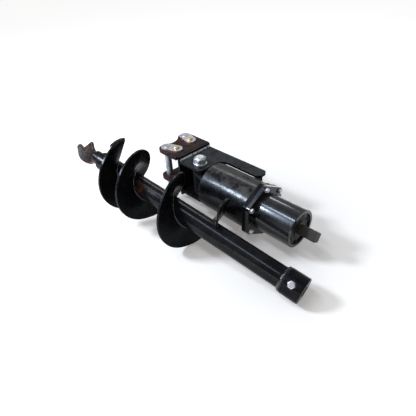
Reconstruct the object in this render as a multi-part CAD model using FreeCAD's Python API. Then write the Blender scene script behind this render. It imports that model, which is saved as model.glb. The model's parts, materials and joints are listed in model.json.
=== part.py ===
import FreeCAD, Part
import math
import os

# An excavator auger attachment laid down for storage: a hydraulic auger drive in its
# cradle hitch, and beside it the auger bit that goes on the drive's square shaft.
# The drive's axis is X, pointing at the output shaft. Everything is made about that
# axis first, and the whole part is then moved so that it stands on Z = 0.

V = FreeCAD.Vector
FIT = 0.05            # radial clearance of a running fit
SEAT = 0.3            # gap between faces that slide past each other

# Gearbox can and its flange
CAN_R = 85.0
CAN_END = 198.0       # far end of the can, measured from the flange joint at X = 0
CAN_FLANGE_T = 16.0
BOLT_INSET = 1.0      # of the bolt circle inside the hood's outer face
LOBE_R = 18.0
FLANGE_BOLTS = 6
BOLT_PHASE = 30.0     # degrees from +Y to the first flange bolt
BOLT_D = 12.0
BOLT_AF = 19.0
BOLT_HEAD_H = 8.0
BOLT_WASHER_R = 12.0
BOLT_WASHER_T = 2.5
BOLT_BLIND = 3.0      # wall left under each flange bolt's end
END_RECESS_R = 71.0
END_RECESS = 7.0
COVER_SCREWS = 6
COVER_SCREW_PHASE = 15.0
COVER_SCREW_R = 3.0
COVER_SCREW_HEAD_R = 5.0
COVER_SCREW_HEAD_H = 4.0

# Hood over the hydraulic motor
HOOD_ROOM = 2.8       # between the motor and the hood's wall
HOOD_WALL = 6.0
HOOD_LEN = 295.0
HOOD_FLANGE_T = 20.0
HOOD_FLANGE_BORE_R = 89.0
COVER_RIM = 8.0        # width of the gearbox cover's rim held in the hood flange
COVER_RIM_T = 8.0
INPUT_BORE_R = 24.0
END_PLATE_T = 12.0
END_PLATE_SET = 3.0

# Planetary gears, two stages with the same tooth counts
MODULE = 2.5
SUN_TEETH = 15
PLANET_TEETH = 18
RING_TEETH = SUN_TEETH + 2 * PLANET_TEETH
PLANETS = 3
PRESSURE = math.radians(20.0)
ADDENDUM = 0.8        # in modules
DEDENDUM = 1.05
BACKLASH = 0.5        # mm taken off each tooth's thickness
RING_WALL = 8.625     # of the ring gear, outside its tooth spaces
RING_OUTER_R = MODULE * (RING_TEETH / 2 + DEDENDUM) + RING_WALL
RING_OVERHANG = 3.0   # length of the ring beyond the planets' ends
STAGE1_X = 14.0
STAGE1_W = 22.0
STAGE2_X = 62.0
STAGE2_W = 36.0
PLANET_PIN_R = 8.0
CARRIER_R = 57.0
CARRIER_T = 10.0
CARRIER_GAP = 3.0
PIN_PROUD = 2.0       # length of each planet pin beyond its gear
SUN_NECK_STEP = 1.0
SPIGOT_R = 11.0       # motor shaft's spigot in the stage 1 sun

# Output shaft and its bearings
SHAFT_SQUARE = 40.0
SHAFT_CORNER_R = 4.0
SHAFT_OUT = 80.0      # length of the square outside the can
SHAFT_PHASE = 58.0    # degrees from +Y to the square's cross-hole face
JOURNAL_R = 35.0
SHAFT_INNER_R = 25.0
BEARING_SECTION = 25.0  # from the shaft's journal to the bearings' outside
BEARING_OUTER_R = JOURNAL_R + BEARING_SECTION
BEARING_WALL = 8.0
BEARING_W = 20.0
INNER_BEARING_GAP = 9.0  # from the stage 2 carrier to the inner bearing
ROLLERS = 18
ROLLER_R = 4.4
ROLLER_INSET = 2.0
BEARING_SHOULDER = 4.0
SEAL_W = 9.0
CROSS_HOLE_R = 9.0
CROSS_HOLE_BACK = 38.0  # from the shaft's end to the cross hole

# Hydraulic gear motor
MOTOR_MODULE = 4.0
MOTOR_TEETH = 14
MOTOR_WALL = 14.0
MOTOR_FLANGE_T = 20.0
MOTOR_BODY_T = 50.0
MOTOR_COVER_T = 25.0
MOTOR_SHAFT_R = 12.0
MOTOR_BOLT_R = 5.0
MOTOR_BOLT_AF = 17.0
MOTOR_BOLT_HEAD_H = 7.0
MOTOR_BOLT_GRIP = 12.0
MOTOR_BOLT_ANGLE = 20.0  # degrees from level, seen from each gear's axis
MOTOR_JOURNAL = 14.0  # length of each gear's journal in the cover and the flange
PORT_Y = 26.0
PORT_TUBE_R = 8.0
PORT_TUBE_WALL = 2.0
ADAPTER_AF = 30.0
ADAPTER_HEX_T = 12.0
ADAPTER_R = 11.0
ADAPTER_OUT = 30.0
PORT_DEPTH = 12.0     # depth of each line's seat in the motor's end cover
CAP_R = 14.0
CAP_LEN = 17.0
CAP_WALL = 3.0

# The motor's gears lie one below the other, and the hood clears the lower one
MOTOR_PITCH_R = MOTOR_MODULE * MOTOR_TEETH / 2
MOTOR_TIP_R = MOTOR_PITCH_R + ADDENDUM * MOTOR_MODULE
HOOD_R = 2 * MOTOR_PITCH_R + MOTOR_TIP_R + MOTOR_WALL + HOOD_ROOM + HOOD_WALL
BOLT_CIRCLE_R = HOOD_R - BOLT_INSET

# Pivot lug and neck between the hood and the hitch
PIVOT_BACK = 79.0     # from the hood's end to the pivot
PIVOT_Y = -12.0       # of the pivot beside the drive's axis
PIVOT_X = -HOOD_LEN - PIVOT_BACK
PIVOT_R = 18.0
BUSH_WALL = 4.5
BUSH_FLANGE_T = 3.0
BUSH_LEN = 40.0
BUSH_RIM = 8.0
LUG_R = 40.0
NECK_T = 14.0
NECK_Z = 54.0         # height of each neck plate's middle above and below the axis
NECK_HALF = 76.0
WEB_T = 14.0

# Cradle hitch
EAR_TOP = 112.0       # top face of the upper ear plate
EAR_BOTTOM = -60.0    # bottom face of the lower ear plate
CROSS_BOTTOM = -106.0
EAR_T = 16.0
SIDE_OUT = 92.0       # outer faces of the side plates
SIDE_T = 12.0
CROSS_BACK = 92.0     # from the pivot to the cross plate
CROSS_X = PIVOT_X - CROSS_BACK
CROSS_T = 12.0
CROSS_LAP = 2.0       # width of the cross plate beyond each edge of the side plates
SIDE_NEAR_Y = -65.0
NOSE_AHEAD = 56.0     # from the pivot to the side plates' nose
SIDE_NOSE_X = PIVOT_X + NOSE_AHEAD
NOSE_R = 23.0
ARM_CLEARANCE = 4.5   # between the hood and each side plate, where the arm's inner edge is
ARM_WIDTH = 61.0
ARM_INNER_Y = math.sqrt(HOOD_R ** 2 - (SIDE_OUT - SIDE_T - ARM_CLEARANCE) ** 2)
SIDE_FAR_Y = ARM_INNER_Y + ARM_WIDTH
ARM_END_X = -87.0
ARM_FILLET = 42.0
ARM_CORNER = 22.0
SADDLE_T = 12.0
SADDLE_BACK = 26.0    # from the arms' end to the saddle plate
SADDLE_GAP = 5.0
EAR_LOBE_R = 40.0
EAR_WAIST = 12.0
NEAR_PIN_BACK = 113.0  # from the cross plate to each pin
FAR_PIN_BACK = 133.0
NEAR_PIN = (CROSS_X - CROSS_T - NEAR_PIN_BACK, -38.0)
FAR_PIN = (CROSS_X - CROSS_T - FAR_PIN_BACK, 104.0)
PIN_R = 17.5
PIN_CHAMFER = 2.0
FLAG_T = 8.0
FLAG_R = 30.0
FLAG_CHORD = 28.0
LOCK_REACH = 58.0     # from the pin to its lock bolt
NEAR_LOCK_ANGLE = 18.0
FAR_LOCK_ANGLE = -15.0
LOCK_BOLT_R = 8.0
LOCK_AF = 24.0
LOCK_HEAD_H = 10.0
PIVOT_AF = 55.0
PIVOT_HEAD_H = 32.0
PIVOT_NUT_H = 28.0
WASHER_T = 5.0
PIVOT_WASHER_R = 33.0
PIN_HOLE_GAP = 0.3

# Auger bit
FLIGHT_R = 150.0
AUGER_START_X = -597.7
AUGER_ASIDE = 69.2    # from the hood to the flights' rim, where the flights start
AUGER_START = (AUGER_START_X, -HOOD_R - FLIGHT_R - AUGER_ASIDE)
AUGER_YAW = 7.4
FLIGHT_T = 8.0
FLIGHT_TRIM = 2.0     # stock that is turned off the flights' inner and outer edges
TUBE_R = 44.5
TUBE_WALL = 8.0
HUB_R = 54.0
HUB_LEN = 80.0
HUB_CHAMFER = 3.0
HUB_END = 986.0       # from the flights' start to the hub's open end
FIRST_PITCH = 214.0
SECOND_PITCH = 249.0
THIRD_PITCH = 227.0
TURN_PITCHES = (FIRST_PITCH, SECOND_PITCH, THIRD_PITCH)
FLIGHT_PHASE = 270.0  # degrees round the axis at the flights' start, from the far side
FLIGHT_LEAD = 26.0    # degrees that each flight starts ahead of that point
FLIGHT_END = 905.0    # degrees at which the main flight ends
SECOND_END = 150.0
CONTACT_TURN = 720.0  # degrees at which the main flight's rim touches the ground
SOCKET_PLAY = 0.6
SOCKET_DEPTH = 86.0
HUB_BOLT_BACK = 45.0  # from the hub's end to its cross bolt
HUB_BOLT_PHASE = 133.0
HUB_BOLT_D = 18.0
HUB_BOLT_AF = 27.0
HUB_BOLT_HEAD_H = 11.0
HUB_NUT_H = 15.0
HUB_BOLT_PROUD = 4.0
HUB_SPOT_R = 18.0
SPIGOT_LEN = 40.0     # of the hub and of the pilot socket inside the tube
HUB_FLAT = 46.0       # distance from the axis to the flats under the bolt's head and nut
BLADE_T = 10.0
BLADE_INNER_R = 70.0
BLADE_PROUD = 3.0     # height of each blade beyond the flight's rim
BLADE_AHEAD = 4.0     # degrees of blade ahead of the flight's end
BLADE_SPAN = 36.0     # degrees of blade behind the flight's end
TIP_SOCKET_R = 32.0
TIP_SOCKET_X = -150.0
TUBE_TIP_X = -105.0
# The pilot's two edges at distances ahead of its socket, out to the main claw's tip
PILOT_OUTLINE = ((0, -30, 30), (24, -50, 17), (50, -53, 32), (71, -52, 51),
                 (82, -48, 28), (94, -43, 5), (124, -20, 13), (137, -8, 4))
PILOT_BASE_T = 26.0
PILOT_END_T = 10.0
PILOT_PHASE = 36.0    # degrees from +Y to the main claw
PILOT_TWIST = 15.0    # degrees more that the root is turned

GROUND = -(BOLT_CIRCLE_R + LOBE_R)
PITCH_R = {teeth: MODULE * teeth / 2 for teeth in (SUN_TEETH, PLANET_TEETH, RING_TEETH)}
CENTRES = PITCH_R[SUN_TEETH] + PITCH_R[PLANET_TEETH]


# Basic solids

def x_cyl(x0, x1, r, y=0.0, z=0.0):
    return Part.makeCylinder(r, x1 - x0, V(x0, y, z), V(1, 0, 0))


def x_tube(x0, x1, outer, inner, y=0.0, z=0.0):
    return x_cyl(x0, x1, outer, y, z).cut(x_cyl(x0 - 1, x1 + 1, inner, y, z))


def z_cyl(z0, z1, r, x, y):
    return Part.makeCylinder(r, z1 - z0, V(x, y, z0), V(0, 0, 1))


def block(x0, x1, y0, y1, z0, z1):
    return Part.makeBox(x1 - x0, y1 - y0, z1 - z0, V(x0, y0, z0))


def ring_points(count, radius, phase=0.0):
    """Points (y, z) evenly spaced on a circle, the first at phase degrees from +Y."""
    angles = [math.radians(phase + 360.0 * i / count) for i in range(count)]
    return [(radius * math.cos(a), radius * math.sin(a)) for a in angles]


def plate(wire, z0, z1):
    """A flat plate whose outline lies at Z = 0."""
    face = Part.Face(wire)
    face.translate(V(0, 0, z0))
    return face.extrude(V(0, 0, z1 - z0))


def polygon(points):
    return Part.makePolygon([V(*p) for p in points] + [V(*points[0])])


def hex_prism(across_flats, height):
    """A hexagon standing on Z = 0 about the Z axis, with its top edge chamfered."""
    r = across_flats / math.sqrt(3)
    corners = [(r * math.cos(math.radians(60 * i)), r * math.sin(math.radians(60 * i)), 0)
               for i in range(6)]
    prism = Part.Face(polygon(corners)).extrude(V(0, 0, height))
    cone_h = height * 0.25
    crown = Part.makeCone(r, r - cone_h * 1.6, cone_h, V(0, 0, height - cone_h))
    return prism.common(Part.makeCylinder(r, height - cone_h).fuse(crown))


def set_at(shape, base, axis):
    """Turns a shape made about +Z to point along axis, then moves it to base."""
    placed = shape.copy()
    turn = FreeCAD.Rotation(V(0, 0, 1), V(*axis))
    placed.Placement = FreeCAD.Placement(V(*base), turn)
    return placed


def hex_bolt(d, af, head_h, length, washer_r=0.0, washer_t=0.0):
    """A bolt whose seat is at Z = 0, with its head above and its shank below."""
    bolt = hex_prism(af, head_h)
    bolt.translate(V(0, 0, washer_t))
    if washer_r:
        bolt = bolt.fuse(Part.makeCylinder(washer_r, washer_t))
    shank = Part.makeCylinder(d / 2, length + washer_t, V(0, 0, -length))
    return bolt.fuse(shank).removeSplitter()


def square_bar(x0, x1, side, corner, phase):
    """A square bar along X with rounded corners; phase turns one face's normal from +Y."""
    bar = block(x0, x1, -side / 2, side / 2, -side / 2, side / 2)
    long_edges = [e for e in bar.Edges if abs(e.tangentAt(e.FirstParameter).x) > 0.9]
    bar = bar.makeFillet(corner, long_edges)
    bar.rotate(V(0, 0, 0), V(1, 0, 0), phase)
    return bar


# Gears

def tooth_flank(pitch_r, half_angle, r_from, r_to, steps=5):
    """Points of one involute flank as (radius, angle from the tooth's middle)."""
    base_r = pitch_r * math.cos(PRESSURE)
    inv_pitch = math.tan(PRESSURE) - PRESSURE
    flank = []
    for i in range(steps + 1):
        r = r_from + (r_to - r_from) * i / steps
        alpha = math.acos(min(1.0, base_r / r))
        inv = math.tan(alpha) - alpha
        flank.append((r, half_angle + inv_pitch - inv))
    return flank


def gear_outline(teeth, module, r_root, r_tip, thickness):
    """The closed outline of a spur gear in the YZ plane, with a tooth centred on +Y."""
    pitch_r = module * teeth / 2
    half = thickness / pitch_r / 2
    flank = tooth_flank(pitch_r, half, max(r_root, pitch_r * math.cos(PRESSURE)), r_tip)
    if r_root < flank[0][0]:
        flank.insert(0, (r_root, flank[0][1]))
    points = []
    for tooth in range(teeth):
        middle = 2 * math.pi * tooth / teeth
        points += [(r, middle - a) for r, a in flank]
        points += [(r, middle + a) for r, a in reversed(flank)]
    return [(0.0, r * math.cos(a), r * math.sin(a)) for r, a in points]


def spur_gear(teeth, module, x0, width, phase=0.0):
    """An external gear along X; phase in degrees turns a tooth's middle from +Y."""
    pitch_r = module * teeth / 2
    thickness = math.pi * module / 2 - BACKLASH
    outline = gear_outline(teeth, module, pitch_r - DEDENDUM * module,
                           pitch_r + ADDENDUM * module, thickness)
    gear = Part.Face(polygon(outline)).extrude(V(width, 0, 0))
    gear.translate(V(x0, 0, 0))
    gear.rotate(V(0, 0, 0), V(1, 0, 0), phase)
    return gear


def ring_gear(x0, x1, phase):
    """The toothed ring round the planets; its spaces are a gear's teeth with play added."""
    pitch_r = PITCH_R[RING_TEETH]
    thickness = math.pi * MODULE / 2 + BACKLASH
    outline = gear_outline(RING_TEETH, MODULE, pitch_r - ADDENDUM * MODULE,
                           pitch_r + DEDENDUM * MODULE, thickness)
    spaces = Part.Face(polygon(outline)).extrude(V(x1 - x0 + 2, 0, 0))
    spaces.translate(V(x0 - 1, 0, 0))
    spaces.rotate(V(0, 0, 0), V(1, 0, 0), phase)
    return x_cyl(x0, x1, RING_OUTER_R).cut(spaces)


def planet_angles():
    return [90.0 + 360.0 * i / PLANETS for i in range(PLANETS)]


def planet_place(angle):
    a = math.radians(angle)
    return CENTRES * math.cos(a), CENTRES * math.sin(a)


def planet_gear(angle, x0, width):
    """A planet in mesh with a sun that has a tooth on +Y and a ring with a space there."""
    gear = spur_gear(PLANET_TEETH, MODULE, x0, width)
    turn = angle + 180.0 + 180.0 / PLANET_TEETH + angle * SUN_TEETH / PLANET_TEETH
    gear.rotate(V(0, 0, 0), V(1, 0, 0), turn)
    gear = gear.cut(x_cyl(x0 - 1, x0 + width + 1, PLANET_PIN_R + FIT))
    y, z = planet_place(angle)
    gear.translate(V(0, y, z))
    return gear


def ring_phase():
    """The ring's space that a planet's outer tooth sits in, followed back to +Y."""
    angle = planet_angles()[0]
    turn = angle + 180.0 + 180.0 / PLANET_TEETH + angle * SUN_TEETH / PLANET_TEETH
    # the planet's tooth nearest to the ring lies this far from the line of centres
    step = 360.0 / PLANET_TEETH
    off = (turn - angle + step / 2) % step - step / 2
    return angle + off * PLANET_TEETH / RING_TEETH


def carrier(x0, x1, bore_r):
    disc = x_tube(x0, x1, CARRIER_R, bore_r)
    for angle in planet_angles():
        y, z = planet_place(angle)
        disc = disc.cut(x_cyl(x0 - 1, x1 + 1, PLANET_PIN_R, y, z))
    return disc


def planet_pins(x0, x1):
    return Part.makeCompound([x_cyl(x0, x1, PLANET_PIN_R, *planet_place(a))
                              for a in planet_angles()])


# Gearbox

def flange_plate(x0, x1):
    """A plate with a round lobe about each bolt and a straight side from one to the next."""
    bolts = ring_points(FLANGE_BOLTS, BOLT_CIRCLE_R, BOLT_PHASE)
    half = 180.0 / FLANGE_BOLTS
    starts, tops, ends = (
        [V(x0, y + dy, z + dz) for (y, z), (dy, dz)
         in zip(bolts, ring_points(FLANGE_BOLTS, LOBE_R, BOLT_PHASE + lean))]
        for lean in (-half, 0.0, half))
    edges = []
    for i in range(FLANGE_BOLTS):
        edges.append(Part.Arc(starts[i], tops[i], ends[i]).toShape())
        edges.append(Part.makeLine(ends[i], starts[(i + 1) % FLANGE_BOLTS]))
    return Part.Face(Part.Wire(edges)).extrude(V(x1 - x0, 0, 0))


def flange_holes(shape, x0, x1, r):
    for y, z in ring_points(FLANGE_BOLTS, BOLT_CIRCLE_R, BOLT_PHASE):
        shape = shape.cut(x_cyl(x0, x1, r, y, z))
    return shape


SEAL_X = CAN_END - END_RECESS - SEAL_W
CUP_BORE_R = BEARING_OUTER_R - BEARING_WALL
CAVITY_R = BEARING_OUTER_R + BEARING_SHOULDER
STAGE2_END = STAGE2_X + STAGE2_W
CARRIER1_X = STAGE1_X + STAGE1_W + CARRIER_GAP
CARRIER2_X = STAGE2_END + CARRIER_GAP
RING_START = STAGE1_X - RING_OVERHANG
RING_END = STAGE2_END + RING_OVERHANG
BEARING_XS = (CARRIER2_X + CARRIER_T + INNER_BEARING_GAP, SEAL_X - BEARING_W)


def gearbox_housing():
    can = flange_plate(0, CAN_FLANGE_T).fuse(x_cyl(0, CAN_END, CAN_R))
    can = flange_holes(can.removeSplitter(), -1, CAN_FLANGE_T + 1, BOLT_D / 2 + SEAT)
    rim = [e for e in can.Edges if abs(e.BoundBox.XMin - CAN_END) < 0.01
           and e.BoundBox.XLength < 0.01]
    can = can.makeFillet(3.0, rim)
    inner, outer = BEARING_XS
    can = can.cut(x_cyl(-1, RING_END, RING_OUTER_R))
    can = can.cut(x_cyl(0, inner, CAVITY_R))
    can = can.cut(x_cyl(inner - 1, inner + BEARING_W, BEARING_OUTER_R))
    can = can.cut(x_cyl(inner, outer + 1, BEARING_OUTER_R - BEARING_SHOULDER))
    can = can.cut(x_cyl(outer, SEAL_X + 1, BEARING_OUTER_R))
    return can.cut(x_cyl(SEAL_X, CAN_END + 1, END_RECESS_R))


def bearing_cup(x):
    return x_tube(x, x + BEARING_W, BEARING_OUTER_R, CUP_BORE_R)


def bearing_cone(x):
    """The inner ring with its rollers, which keep the running clearance to the cup."""
    race_r = CUP_BORE_R - FIT - 2 * ROLLER_R
    rollers = [x_cyl(x + ROLLER_INSET, x + BEARING_W - ROLLER_INSET, ROLLER_R, y, z)
               for y, z in ring_points(ROLLERS, race_r + ROLLER_R)]
    return Part.makeCompound([x_tube(x, x + BEARING_W, race_r, JOURNAL_R)] + rollers)


def output_shaft():
    end = CAN_END + SHAFT_OUT
    shaft = x_cyl(CARRIER2_X, CARRIER2_X + CARRIER_T, SHAFT_INNER_R)
    shaft = shaft.fuse(x_cyl(CARRIER2_X + CARRIER_T, CAN_END - 2, JOURNAL_R))
    square = square_bar(CAN_END - 4, end, SHAFT_SQUARE, SHAFT_CORNER_R, SHAFT_PHASE)
    bevel = 4.0
    half_diagonal = SHAFT_SQUARE / math.sqrt(2)
    nose = Part.makeCone(half_diagonal + bevel, half_diagonal - bevel, 2 * bevel,
                         V(end - 2 * bevel, 0, 0), V(1, 0, 0))
    square = square.common(x_cyl(CAN_END - 5, end - 2 * bevel, half_diagonal + 1).fuse(nose))
    shaft = shaft.fuse(square).removeSplitter()
    a = math.radians(SHAFT_PHASE)
    hole = set_at(Part.makeCylinder(CROSS_HOLE_R, 2 * SHAFT_SQUARE, V(0, 0, -SHAFT_SQUARE)),
                  (end - CROSS_HOLE_BACK, 0, 0), (0, math.cos(a), math.sin(a)))
    return shaft.cut(hole)


def cover_screw_places():
    return ring_points(COVER_SCREWS, (END_RECESS_R + CUP_BORE_R) / 2, COVER_SCREW_PHASE)


def seal_cover():
    """The ring that closes the can's end, held by six screws."""
    cover = x_tube(SEAL_X, CAN_END - END_RECESS, END_RECESS_R, CUP_BORE_R)
    for y, z in cover_screw_places():
        cover = cover.cut(x_cyl(SEAL_X - 1, CAN_END, COVER_SCREW_R, y, z))
    return cover


def seal_screws():
    seat = CAN_END - END_RECESS
    screws = []
    for y, z in cover_screw_places():
        head = x_cyl(seat, seat + COVER_SCREW_HEAD_H, COVER_SCREW_HEAD_R, y, z)
        socket = x_cyl(seat + COVER_SCREW_HEAD_H / 2, seat + 2 * COVER_SCREW_HEAD_H,
                       COVER_SCREW_HEAD_R / 2, y, z)
        screws.append(head.cut(socket).fuse(x_cyl(SEAL_X, seat, COVER_SCREW_R, y, z)))
    return Part.makeCompound(screws)


def gearbox_parts():
    parts = {}
    parts["gearbox_housing"] = gearbox_housing()
    plate_x = -HOOD_FLANGE_T
    rim_r = HOOD_FLANGE_BORE_R + COVER_RIM
    cover = x_cyl(plate_x, 0, HOOD_FLANGE_BORE_R).fuse(x_cyl(-COVER_RIM_T, 0, rim_r))
    cover = cover.fuse(x_cyl(0, RING_START, RING_OUTER_R)).removeSplitter()
    cover = cover.cut(x_cyl(plate_x - 1, RING_START + 1, INPUT_BORE_R))
    for y, z in motor_bolt_places():
        cover = cover.cut(x_cyl(plate_x - 1, plate_x + MOTOR_BOLT_GRIP, MOTOR_BOLT_R, y, z))
    parts["gearbox_input_cover"] = cover
    parts["input_shaft_seal"] = x_tube(plate_x + COVER_RIM_T, -COVER_RIM_T / 2, INPUT_BORE_R,
                                       MOTOR_SHAFT_R + FIT)
    parts["ring_gear"] = ring_gear(RING_START, RING_END, ring_phase())
    parts["bearing_cups"] = Part.makeCompound([bearing_cup(x) for x in BEARING_XS])
    parts["bearing_cones"] = Part.makeCompound([bearing_cone(x) for x in BEARING_XS])
    parts["seal_cover"] = seal_cover()
    parts["seal_cover_screws"] = seal_screws()
    parts["output_shaft_seal"] = x_tube(SEAL_X, CAN_END - END_RECESS, CUP_BORE_R,
                                        JOURNAL_R + FIT)
    bolt = hex_bolt(BOLT_D, BOLT_AF, BOLT_HEAD_H, CAN_FLANGE_T + HOOD_FLANGE_T - BOLT_BLIND,
                    BOLT_WASHER_R, BOLT_WASHER_T)
    parts["flange_bolts"] = Part.makeCompound([
        set_at(bolt, (CAN_FLANGE_T, y, z), (1, 0, 0))
        for y, z in ring_points(FLANGE_BOLTS, BOLT_CIRCLE_R, BOLT_PHASE)])
    sun1 = spur_gear(SUN_TEETH, MODULE, STAGE1_X, STAGE1_W)
    parts["stage1_sun_gear"] = sun1.cut(x_cyl(0, STAGE1_X + STAGE1_W + 1, SPIGOT_R))
    for stage, (x, w) in enumerate(((STAGE1_X, STAGE1_W), (STAGE2_X, STAGE2_W)), start=1):
        for i, angle in enumerate(planet_angles(), start=1):
            parts["stage%d_planet_gear_%d" % (stage, i)] = planet_gear(angle, x, w)
    neck_r = PITCH_R[SUN_TEETH] - DEDENDUM * MODULE - SUN_NECK_STEP
    parts["stage1_carrier"] = carrier(CARRIER1_X, CARRIER1_X + CARRIER_T, neck_r)
    parts["stage1_planet_pins"] = planet_pins(STAGE1_X - PIN_PROUD, CARRIER1_X + CARRIER_T)
    sun2 = spur_gear(SUN_TEETH, MODULE, STAGE2_X, STAGE2_W)
    parts["stage2_sun_gear"] = sun2.fuse(x_cyl(CARRIER1_X, STAGE2_X, neck_r)).removeSplitter()
    parts["stage2_carrier"] = carrier(CARRIER2_X, CARRIER2_X + CARRIER_T, SHAFT_INNER_R)
    parts["stage2_planet_pins"] = planet_pins(STAGE2_X - PIN_PROUD, CARRIER2_X + CARRIER_T)
    parts["output_shaft"] = output_shaft()
    return parts


# Hydraulic motor

MOTOR_GEAR_Z = (0.0, -2 * MOTOR_PITCH_R)
MOTOR_FLANGE_X = -HOOD_FLANGE_T - MOTOR_FLANGE_T
MOTOR_BODY_X = MOTOR_FLANGE_X - MOTOR_BODY_T
MOTOR_COVER_X = MOTOR_BODY_X - MOTOR_COVER_T
PORT_Z = -MOTOR_PITCH_R


def motor_slab(x0, x1, r):
    """A plate with round ends about the two gear axes."""
    top, bottom = MOTOR_GEAR_Z
    slab = x_cyl(x0, x1, r, 0, top).fuse(x_cyl(x0, x1, r, 0, bottom))
    return slab.fuse(block(x0, x1, -r, r, bottom, top)).removeSplitter()


def motor_bolt_places():
    reach = MOTOR_TIP_R + MOTOR_WALL / 2
    top, bottom = MOTOR_GEAR_Z
    a = math.radians(MOTOR_BOLT_ANGLE)
    return [(side * reach * math.cos(a), z + up * reach * math.sin(a))
            for side in (-1, 1) for z, up in ((top, 1), (bottom, -1))]


def motor_parts():
    parts = {}
    outer = MOTOR_TIP_R + MOTOR_WALL
    body = motor_slab(MOTOR_BODY_X, MOTOR_FLANGE_X, outer)
    for z in MOTOR_GEAR_Z:
        body = body.cut(x_cyl(MOTOR_BODY_X - 1, MOTOR_FLANGE_X + 1, MOTOR_TIP_R + SEAT, 0, z))
    flange = motor_slab(MOTOR_FLANGE_X, -HOOD_FLANGE_T, outer)
    cover = motor_slab(MOTOR_COVER_X, MOTOR_BODY_X, outer)
    flange = flange.cut(x_cyl(MOTOR_FLANGE_X - 1, 0, MOTOR_SHAFT_R + FIT))
    journal = MOTOR_SHAFT_R
    for z in MOTOR_GEAR_Z:
        cover = cover.cut(x_cyl(MOTOR_BODY_X - MOTOR_JOURNAL - SEAT, MOTOR_BODY_X + 1,
                                journal + FIT, 0, z))
    flange = flange.cut(x_cyl(MOTOR_FLANGE_X - 1, MOTOR_FLANGE_X + MOTOR_JOURNAL + SEAT,
                              journal + FIT, 0, MOTOR_GEAR_Z[1]))
    for side in (-1, 1):
        cover = cover.cut(x_cyl(MOTOR_COVER_X - 1, MOTOR_COVER_X + PORT_DEPTH, PORT_TUBE_R,
                                side * PORT_Y, PORT_Z))
    for y, z in motor_bolt_places():
        body = body.cut(x_cyl(MOTOR_BODY_X - 1, MOTOR_FLANGE_X + 1, MOTOR_BOLT_R + SEAT, y, z))
        cover = cover.cut(x_cyl(MOTOR_COVER_X - 1, MOTOR_BODY_X + 1, MOTOR_BOLT_R + SEAT, y, z))
        flange = flange.cut(x_cyl(MOTOR_FLANGE_X - 1, -HOOD_FLANGE_T + 1, MOTOR_BOLT_R + SEAT, y, z))
    parts["motor_body"] = body
    parts["motor_mounting_flange"] = flange
    parts["motor_end_cover"] = cover
    bolt = hex_bolt(2 * MOTOR_BOLT_R, MOTOR_BOLT_AF, MOTOR_BOLT_HEAD_H,
                    MOTOR_COVER_T + MOTOR_BODY_T + MOTOR_FLANGE_T + MOTOR_BOLT_GRIP)
    parts["motor_bolts"] = Part.makeCompound([set_at(bolt, (MOTOR_COVER_X, y, z), (-1, 0, 0))
                                              for y, z in motor_bolt_places()])
    width = MOTOR_BODY_T - 2 * SEAT
    x0 = MOTOR_BODY_X + SEAT
    drive = spur_gear(MOTOR_TEETH, MOTOR_MODULE, x0, width)
    drive = drive.fuse(x_cyl(MOTOR_BODY_X - MOTOR_JOURNAL, STAGE1_X, MOTOR_SHAFT_R))
    drive = drive.fuse(x_cyl(STAGE1_X, STAGE1_X + STAGE1_W, SPIGOT_R))
    parts["motor_drive_shaft"] = drive.removeSplitter()
    # the drive gear has a tooth on +Y, and half a tooth's turn meshes its twin straight below
    idler = spur_gear(MOTOR_TEETH, MOTOR_MODULE, x0, width, 180.0 / MOTOR_TEETH)
    idler = idler.fuse(x_cyl(MOTOR_BODY_X - MOTOR_JOURNAL, MOTOR_FLANGE_X + MOTOR_JOURNAL, journal))
    idler.translate(V(0, 0, MOTOR_GEAR_Z[1]))
    parts["motor_idler_gear"] = idler.removeSplitter()
    lines, caps = [], []
    plate_x = -HOOD_LEN + END_PLATE_SET
    for side in (-1, 1):
        y = side * PORT_Y
        inside = MOTOR_COVER_X + PORT_DEPTH - plate_x
        line = Part.makeCylinder(PORT_TUBE_R, inside + 1, V(0, 0, -inside))
        line = line.fuse(Part.makeCylinder(ADAPTER_R, END_PLATE_T + 1, V(0, 0, -END_PLATE_T)))
        line = line.fuse(hex_prism(ADAPTER_AF, ADAPTER_HEX_T))
        line = line.fuse(Part.makeCylinder(ADAPTER_R, ADAPTER_OUT)).removeSplitter()
        bore = Part.makeCylinder(PORT_TUBE_R - PORT_TUBE_WALL, inside + ADAPTER_OUT + 2,
                                 V(0, 0, -inside - 1))
        lines.append(set_at(line.cut(bore), (plate_x, y, PORT_Z), (-1, 0, 0)))
        cap = Part.makeCylinder(CAP_R, CAP_LEN)
        cap = cap.cut(Part.makeCylinder(ADAPTER_R, CAP_LEN - CAP_WALL))
        cap_x = plate_x - ADAPTER_OUT + CAP_LEN - CAP_WALL
        caps.append(set_at(cap, (cap_x, y, PORT_Z), (-1, 0, 0)))
    parts["port_lines"] = Part.makeCompound(lines)
    parts["port_caps"] = Part.makeCompound(caps)
    return parts


# Hood and pivot lug

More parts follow.
